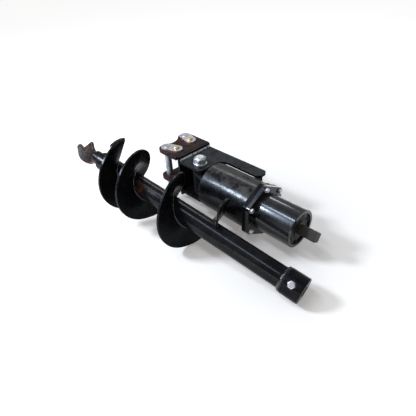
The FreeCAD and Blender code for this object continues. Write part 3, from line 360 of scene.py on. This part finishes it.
def zinc_plate(name, colour, shade, smudge=0.0, top=None):
    """Bright zinc plating: a faint spangle, smudged where handled, with an upward face painted
    paler as light from above.
    """
    look = Look(name, metallic=1.0)
    cells = look.add("TexVoronoi", {"Vector": look.coords, "Scale": SPANGLES}).outputs["Color"]
    tone = look.between(look.add("SeparateColor", {0: cells}).outputs[0], 0.0, 1.0)
    cloud = look.noise(*ZINC_CLOUDS)
    share = look.times(look.between(cloud, 0.3, 0.7), look.between(tone, 0, 1, 0.55, 1.0))
    mixed = look.blend(share, colour, shade)
    # Painted light: faces that point up are painted paler, as if lit from above
    if top:
        mixed = look.blend(look.between(look.facing_up(), 0.8, 0.98), mixed, top)
    if smudge:
        stain = look.times(look.between(look.noise(*ZINC_STAINS), 0.52, 0.64), smudge)
        mixed = look.blend(stain, mixed, STAIN_RED)
        look.set("Metallic", look.between(stain, 0.0, 1.0, 1.0, 0.35))
    look.set("Base Color", mixed)
    look.set("Roughness", look.between(cloud, 0.3, 0.75, 0.36, 0.58))
    look.bumps([(tone, 0.08, 0.0004), (look.noise(*ZINC_GRIT), 0.06, 0.0003)], edge=ZINC_ROUND)
    return look.material


def machined(name, colour, shade, roughness):
    """Turned or ground steel with fine tool lines and a trace of oil."""
    look = Look(name, metallic=1.0)
    lines = look.noise(*TOOL_LINES, coords=look.moved(scale=(TOOL_LINE_PINCH, 1, 1)))
    oil = look.noise(*OIL)
    look.set("Base Color", look.blend(look.between(oil, 0.35, 0.7), colour, shade))
    look.set("Roughness", look.between(lines, 0.3, 0.7, roughness - 0.08, roughness + 0.12))
    look.bumps([(lines, 0.10, 0.0003)], edge=MACHINED_ROUND)
    return look.material


def rough_cast(name, colour, shade, roughness, metallic, grain):
    """A grainy cast, forged or moulded surface; grain is in features for each metre."""
    look = Look(name, metallic=metallic)
    coarse = look.noise(grain, 5, 0.65)
    cloud = look.noise(*CAST_CLOUDS)
    look.set("Base Color", look.blend(look.between(cloud, 0.3, 0.7), colour, shade))
    look.set("Roughness", look.between(cloud, 0.3, 0.7, roughness, roughness + 0.18))
    look.bumps([(coarse, 0.25, 0.0006)], edge=CAST_ROUND)
    return look.material


def forged(name, tip, reach):
    """Hard-faced cutting steel: black scale, red rust near the tip and bare worn edges."""
    look = Look(name)
    patch = look.noise(*FORGED_PATCHES)
    speck = look.noise(*FORGED_SPECKS)
    rusty = look.times(look.between(patch, 0.50, 0.62), look.near(tip, reach, full=0.3, most=0.8))
    shade = look.blend(look.between(speck, 0.35, 0.65), RUST_DARK, RUST_RED)
    colour = look.blend(look.between(patch, 0.35, 0.6), PAINT_DARK, SCALE_BROWN)
    colour = look.blend(rusty, colour, shade)
    edge = look.times(look.edges(FORGED_WORN), look.between(patch, 0.30, 0.55))
    look.set("Base Color", look.blend(look.times(edge, 0.9), colour, BARE_STEEL))
    look.set("Metallic", look.times(edge, 0.85))
    look.set("Roughness", look.between(speck, 0.3, 0.7, 0.16, 0.36))
    look.set("Specular IOR Level", FORGED_GLEAM)
    look.bumps([(patch, 0.5, 0.002), (speck, 0.15, 0.001)], edge=FORGED_ROUND)
    return look.material


def fresh_weld(name):
    """Bare weld metal with spatter and a little black overspray."""
    look = Look(name, metallic=0.4)
    spray = look.noise(*OVERSPRAY)
    look.set("Base Color", look.blend(look.between(spray, 0.50, 0.62), WELD_SILVER, WELD_SOOT))
    look.set("Roughness", look.between(spray, 0.35, 0.7, 0.26, 0.5))
    look.bumps([(look.noise(*WELD_GRIT), 0.3, 0.0008)])
    return look.material


# The bit's own frame, from its tube: X runs from the flights' start to the hub, Y is level

TUBE_AHEAD = 105.0      # mm of tube ahead of the flights' start
TURN_PITCHES = (214.0, 249.0, 227.0)
FLIGHT_PHASE = 270.0    # degrees, as the three below are
FLIGHT_START = -26.0
FLIGHT_END = 905.0
SECOND_END = 150.0
FLIGHT_HALF_T = 4.3     # half the flight's thickness, measured along the axis


def auger_frame():
    """The bit's frame as a matrix, and its tube's radius in mm."""
    points = np.array([v.co[:] for v in NODES["auger_tube"].data.vertices])
    points = np.unique(np.round(points, 6), axis=0)
    low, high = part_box("auger_tube")
    centre = (Vector(low) + Vector(high)) / 2
    axis = np.linalg.svd(points - points.mean(axis=0), full_matrices=False)[2][0]
    axis = Vector(axis if axis[0] > 0 else -axis)
    level = Vector((-axis.y, axis.x, 0)).normalized()
    across = axis.cross(level)
    offsets = [Vector(p) - centre for p in points]
    start = centre + axis * (min(v.dot(axis) for v in offsets) + TUBE_AHEAD * MM)
    outer = max(math.hypot(v.dot(level), v.dot(across)) for v in offsets)
    turn = Matrix((axis, level, across)).transposed().to_4x4()
    return Matrix.Translation(start) @ turn, outer / MM


AUGER, TUBE_R = auger_frame()


def on_auger(x, radius, angle):
    """A point on the bit, in mm along its axis and from it, at an angle in degrees."""
    a = math.radians(angle)
    return AUGER @ (Vector((x, radius * math.cos(a), radius * math.sin(a))) * MM)


def on_drive(x, radius, angle):
    """A point on the drive, in mm along its axis and from it, at an angle in degrees."""
    a = math.radians(angle)
    return drive(x, radius * math.cos(a), radius * math.sin(a))


def lead(angle):
    """How far the flight has climbed at an angle, in mm."""
    climbed = 0.0
    for pitch in TURN_PITCHES[:-1]:
        step = min(angle, 360.0)
        climbed += pitch * step / 360.0
        angle -= step
    return climbed + TURN_PITCHES[-1] * angle / 360.0


# Every look: its name, the function that makes it and its settings

LOOKS = (
    ("black_paint", paint, dict(gloss=0.26, dull=0.38, gleam=0.14, dust=0.45, wear_and_edge_light=0.35,
                                dust_colour=GREY_DUST)),
    ("hood_paint", paint, dict(gloss=0.22, dull=0.42, gleam=0.26, dust=0.80, wear_and_edge_light=0.35,
                               coat=0.14, wave=0.6)),
    ("can_paint", paint, dict(gloss=0.26, dull=0.32, gleam=0.55, dust=0.10, wear_and_edge_light=0.3,
                              coat=1.0, wave=0.0)),
    # A darker copy of black paint, with less gleam and dust: painted shade for the neck, lug, end
    # plate and flange
    ("neck_paint", paint, dict(gloss=0.28, dull=0.40, gleam=0.08, dust=0.15, wear_and_edge_light=0.3)),
    ("auger_paint", paint, dict(gloss=0.20, dull=0.30, gleam=0.13, dust=0.05, wear_and_edge_light=0.6)),
    ("bead_paint", paint, dict(gloss=0.14, dull=0.24, gleam=0.6, dust=0.0, wear_and_edge_light=0.2,
                               coat=1.0, wave=0.0)),
    ("tube_paint", paint, dict(gloss=0.20, dull=0.32, gleam=0.16, dust=0.05, wear_and_edge_light=0.6,
                               coat=0.12, wave=0.3, rust=0.6,
                               rust_spot=(tuple(on_auger(20, 0, 0)), 0.36))),
    ("ear_paint", paint, dict(gloss=0.26, dull=0.42, gleam=0.12, dust=0.10, wear_and_edge_light=0.4, rust=0.85)),
    ("zinc", zinc_plate, dict(colour=(0.84, 0.87, 0.91), shade=(0.52, 0.54, 0.58))),
    ("yellow_zinc", zinc_plate, dict(colour=(0.86, 0.76, 0.48), shade=(0.70, 0.52, 0.22))),
    ("flag_zinc", zinc_plate, dict(colour=(0.84, 0.84, 0.88), shade=(0.58, 0.58, 0.62),
                                   smudge=0.9)),
    # The pins' top colour is painted light on their upward faces
    ("pin_zinc", zinc_plate, dict(colour=(0.50, 0.56, 0.64), shade=(0.34, 0.38, 0.43),
                                  top=(0.66, 0.67, 0.70))),
    ("machined_steel", machined, dict(colour=(0.50, 0.50, 0.51), shade=(0.30, 0.29, 0.28),
                                      roughness=0.28)),
    ("bronze", machined, dict(colour=(0.60, 0.42, 0.20), shade=(0.42, 0.27, 0.12),
                              roughness=0.32)),
    ("dark_steel", rough_cast, dict(colour=(0.012, 0.012, 0.012), shade=(0.024, 0.023, 0.022),
                                    roughness=0.5, metallic=0.0, grain=340)),
    ("cast_iron", rough_cast, dict(colour=(0.10, 0.10, 0.105), shade=(0.17, 0.165, 0.16),
                                   roughness=0.5, metallic=0.6, grain=260)),
    ("seal_rubber", rough_cast, dict(colour=(0.012, 0.012, 0.012), shade=(0.022, 0.022, 0.022),
                                     roughness=0.6, metallic=0.0, grain=500)),
    ("cap_plastic", rough_cast, dict(colour=(0.33, 0.020, 0.012), shade=(0.24, 0.015, 0.010),
                                     roughness=0.4, metallic=0.0, grain=600)),
    ("forged_steel", forged, dict(tip=tuple(on_auger(-250, 10, 36)), reach=0.24)),
    ("weld_metal", fresh_weld, {}),
)

# Nodes whose look isn't the one that their slot names
OWN_LOOKS = {
    "upper_ear_plate": "ear_paint",
    "lower_ear_plate": "ear_paint",
    "near_pin_flag": "flag_zinc",
    "far_pin_flag": "flag_zinc",
    "near_hitch_pin": "pin_zinc",
    "far_hitch_pin": "pin_zinc",
    "auger_tube": "tube_paint",
    "gearbox_housing": "can_paint",
    "hood_end_plate": "neck_paint",
    "hood_flange": "neck_paint",
    "neck_plates": "neck_paint",
    "neck_web": "neck_paint",
    "pivot_lug": "neck_paint",
    "pilot_socket": "forged_steel",
}


def assign(obj, material):
    if obj.material_slots:
        for slot in obj.material_slots:
            slot.material = material
    else:
        obj.data.materials.append(material)


# Weld beads; their radii and all lengths in mm, unless m is given

BEAD_STEP = 0.0013                # m from one ring of corners to the next
BEAD_SIDES = 8
RIPPLE = 0.0048                   # m from one ripple to the next
RIPPLE_STRAY = 0.15               # how far ripples stray from their even places, in ripples
BEAD_LEAST = 0.86                 # share of the radius where a ripple starts
BEAD_SWELL = 0.22                 # share that the ripple adds by its end
SWELL_POWER = 0.6
BEAD_STRAY = 0.07                 # share by which the radius strays over the bead's length
END_RINGS = 3.0                   # an open bead tapers over this many rings at each end
END_LEAST = 0.35                  # down to this share
FIRST_SIDE = (0.31, 0.47, 0.83)   # a direction that no bead starts along

# What a bead rides with, its slot and its look
ON_HITCH = ("hitch", "black_paint", "black_paint")
BRIGHT_ON_HITCH = ("hitch", "black_paint", "weld_metal")
ON_HOOD = ("drive", "hood_paint", "hood_paint")
ON_NECK = ("drive", "black_paint", "hood_paint")
ON_AUGER = ("auger_bit", "auger_paint", "bead_paint")


def resample(points, step):
    """Points in metres, spread evenly along a path, with their distances along it."""
    points = np.array([p[:] for p in points])
    lengths = np.linalg.norm(np.diff(points, axis=0), axis=1)
    reached = np.concatenate([[0.0], np.cumsum(lengths)])
    at = np.linspace(0, reached[-1], max(3, int(reached[-1] / step)))
    return np.stack([np.interp(at, reached, points[:, i]) for i in range(3)], axis=1), at


def bead(name, points, size, closed):
    """The corners and faces of a ribbed, slightly uneven bead; its name seeds it."""
    rng = random.Random(name)
    path, at = resample(points, BEAD_STEP)
    ahead = np.gradient(path, axis=0)
    ahead /= np.linalg.norm(ahead, axis=1)[:, None]
    drift = np.cumsum([rng.gauss(0, 1) for _ in at])
    drift = drift - np.linspace(drift[0], drift[-1], len(drift))
    drift /= max(1e-9, np.abs(drift).max())
    side = np.cross(ahead[0], FIRST_SIDE)
    n, last = BEAD_SIDES, len(path) - 1
    corners, faces = [], []
    for i, centre in enumerate(path):
        side = side - ahead[i] * np.dot(side, ahead[i])
        side /= np.linalg.norm(side)
        other = np.cross(ahead[i], side)
        phase = (at[i] / RIPPLE + RIPPLE_STRAY * drift[i]) % 1.0
        radius = size * MM * (BEAD_LEAST + BEAD_SWELL * phase ** SWELL_POWER
                              + BEAD_STRAY * drift[i])
        end = min(i, last - i) / END_RINGS
        if not closed and end < 1:
            radius *= END_LEAST + (1 - END_LEAST) * end
        for j in range(n):
            a = 2 * math.pi * j / n
            corners.append(tuple(centre + radius * (side * math.cos(a) + other * math.sin(a))))
    for i in range(last):
        for j in range(n):
            k = (j + 1) % n
            faces.append((i * n + j, i * n + k, (i + 1) * n + k, (i + 1) * n + j))
    faces.append(tuple(reversed(range(n))))
    faces.append(tuple(last * n + j for j in range(n)))
    return corners, faces


def weld(name, points, size, kind, closed=False):
    """Lays a bead along a path; gives the piece and the name of its look."""
    body, slot, look = kind
    corners, faces = bead(name, points, size, closed)
    mesh = bpy.data.meshes.new(name)
    mesh.from_pydata(corners, [], faces)
    mesh.polygons.foreach_set("use_smooth", [True] * len(mesh.polygons))
    mesh.update()
    piece = bpy.data.objects.new(name, mesh)
    bpy.context.scene.collection.objects.link(piece)
    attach(piece, body)
    return piece, look


RING_STEPS = 96
# Beads round the end of a tube: how far from it towards -X, how far out from the wall, radius
HUB_WELD = (3.5, 2.0, 6.5)
HUB_CAP_WELD = (9.0, 0.5, 4.0)
TIP_WELD = (1.5, -9.5, 5.0)
HOOD_WELD = (1.5, 1.0, 3.6)
END_PLATE_WELD = (0.5, -1.0, 2.6)
FLIGHT_WELD_SIZE = 3.6
FLIGHT_WELD_OUT = 0.45      # of its size from the flight's face and from the tube
FLIGHT_WELD_INSET = 4.0     # degrees short of the flight's ends
FLIGHT_WELD_STEP = 4.0      # degrees


def ring_weld(name, place, end, wall, sizes, kind):
    """A closed bead round the end of a tube, where place gives points round its axis."""
    back, out, size = sizes
    points = [place(end - back, wall + out, 360.0 * i / RING_STEPS)
              for i in range(RING_STEPS + 1)]
    return weld(name, points, size, kind, closed=True)


def flight_weld(name, end, phase, side):
    """A bead in the corner between a flight's root and the tube, on one side of it."""
    out = FLIGHT_WELD_OUT * FLIGHT_WELD_SIZE
    first, last = FLIGHT_START + FLIGHT_WELD_INSET, end - FLIGHT_WELD_INSET
    steps = int((last - first) / FLIGHT_WELD_STEP)
    angles = [first + (last - first) * i / steps for i in range(steps + 1)]
    path = [on_auger(lead(a) + side * (FLIGHT_HALF_T + out), TUBE_R + out, a + phase)
            for a in angles]
    return weld(name, path, FLIGHT_WELD_SIZE, ON_AUGER)


def auger_welds():
    welds = []
    for side, word in ((-1, "front"), (1, "back")):
        welds.append(flight_weld("main_flight_weld_" + word, FLIGHT_END, FLIGHT_PHASE, side))
        welds.append(flight_weld("second_flight_weld_" + word, SECOND_END, FLIGHT_PHASE + 180,
                                 side))
    back = AUGER.inverted()
    tube_end = max((back @ v.co).x for v in NODES["auger_tube"].data.vertices) / MM
    for name, end, sizes in (("hub_weld", tube_end, HUB_WELD),
                             ("hub_cap_weld", tube_end, HUB_CAP_WELD),
                             ("tip_weld", -TUBE_AHEAD, TIP_WELD)):
        welds.append(ring_weld(name, on_auger, end, TUBE_R, sizes, ON_AUGER))
    return welds


NECK_WELD_SIZE = 4.0
CORNER_OUT = 1.5         # how far a bead's middle stands off the two faces that it joins
NECK_INSET = 4.0         # from the ends of the neck plates
LUG_WELD_HALF = 62       # degrees to either side of the lug's end
LUG_WELD_POINTS = 41


def drive_welds():
    hood_low, hood_high = extent("hood_shell")
    plate_low, plate_high = extent("hood_end_plate")
    neck_low, neck_high = extent("neck_plates")
    lug_low, lug_high = extent("pivot_lug")
    welds = [ring_weld(name, on_drive, end, (high.z - low.z) / 2, sizes, ON_HOOD)
             for name, end, low, high, sizes in (
                 ("hood_weld", hood_high.x, hood_low, hood_high, HOOD_WELD),
                 ("end_plate_weld", plate_low.x, plate_low, plate_high, END_PLATE_WELD))]
    neck_x = plate_low.x - CORNER_OUT
    lug = (lug_low + lug_high) / 2
    lug_r = (lug_high.x - lug_low.x) / 2 + CORNER_OUT
    arc = [math.radians(LUG_WELD_HALF * (2 * i / (LUG_WELD_POINTS - 1) - 1))
           for i in range(LUG_WELD_POINTS)]
    for z, word in ((neck_high.z + CORNER_OUT, "upper"), (neck_low.z - CORNER_OUT, "lower")):
        welds.append(weld("neck_%s_weld" % word, [drive(neck_x, neck_low.y + NECK_INSET, z),
                                                  drive(neck_x, neck_high.y - NECK_INSET, z)],
                          NECK_WELD_SIZE, ON_NECK))
        welds.append(weld("lug_%s_weld" % word,
                          [drive(lug.x + lug_r * math.cos(a), lug.y + lug_r * math.sin(a), z)
                           for a in arc], NECK_WELD_SIZE, ON_NECK))
    return welds


PLATE_INSET = 3.0        # of the beads from the ends of the plates
EAR_INSET = 4.0
SADDLE_OUT = 1.2


def hitch_welds():
    cross_low, cross_high = extent("cross_plate")
    side_low, side_high = extent("upper_side_plate")
    under_low, under_high = extent("lower_side_plate")
    ear_low, ear_high = extent("upper_ear_plate")
    base_low, base_high = extent("lower_ear_plate")
    saddle_low, saddle_high = extent("cradle_saddle_plate")
    along_side = (side_low.y + PLATE_INSET, side_high.y - PLATE_INSET)
    along_ear = (max(ear_low.y + EAR_INSET, cross_low.y + PLATE_INSET),
                 min(ear_high.y - EAR_INSET, cross_high.y - PLATE_INSET))
    along_saddle = (saddle_low.y + PLATE_INSET, saddle_high.y - PLATE_INSET)
    off = CORNER_OUT
    rows = [
        # name, x, z, reach in y, radius
        ("side_plate_weld", cross_high.x + 2.5, side_high.z + 2.0, along_side, 6.5),
        ("side_plate_inner_weld", cross_high.x + off, side_low.z - off, along_side, 3.6),
        ("lower_side_weld", cross_high.x + off, under_low.z - off, along_side, 4.6),
        ("lower_side_inner_weld", cross_high.x + off, under_high.z + off, along_side, 3.6),
        ("ear_weld", cross_low.x, ear_high.z, along_ear, 2.6),
        ("ear_under_weld", cross_low.x - off, ear_low.z - off, along_ear, 4.2),
        ("lower_ear_weld", cross_low.x - off, base_high.z + off, along_ear, 4.2),
        ("lower_ear_under_weld", cross_low.x - off, base_low.z - off, along_ear, 4.2),
    ]
    for x, face in ((saddle_low.x - SADDLE_OUT, "back"), (saddle_high.x + SADDLE_OUT, "front")):
        for z, level in ((saddle_high.z - SADDLE_OUT, "upper"),
                         (saddle_low.z + SADDLE_OUT, "lower")):
            rows.append(("saddle_%s_%s_weld" % (level, face), x, z, along_saddle, 3.2))
    return [weld(name, [drive(x, y, z) for y in reach], size,
                 BRIGHT_ON_HITCH if name == "side_plate_weld" else ON_HITCH)
            for name, x, z, reach, size in rows]


def dress():
    looks = {name: make(name, **settings) for name, make, settings in LOOKS}
    slots = {s["node"]: s["material_slot"] for s in frame["record"]["subparts"]}
    for node, obj in NODES.items():
        assign(obj, looks[OWN_LOOKS.get(node, slots[node])])
    for piece, look in [*hitch_welds(), *drive_welds(), *auger_welds()]:
        assign(piece, looks[look])


make_camera()
make_lights()
make_world()
make_floor()
dress()
bpy.context.scene.view_settings.view_transform = "Standard"
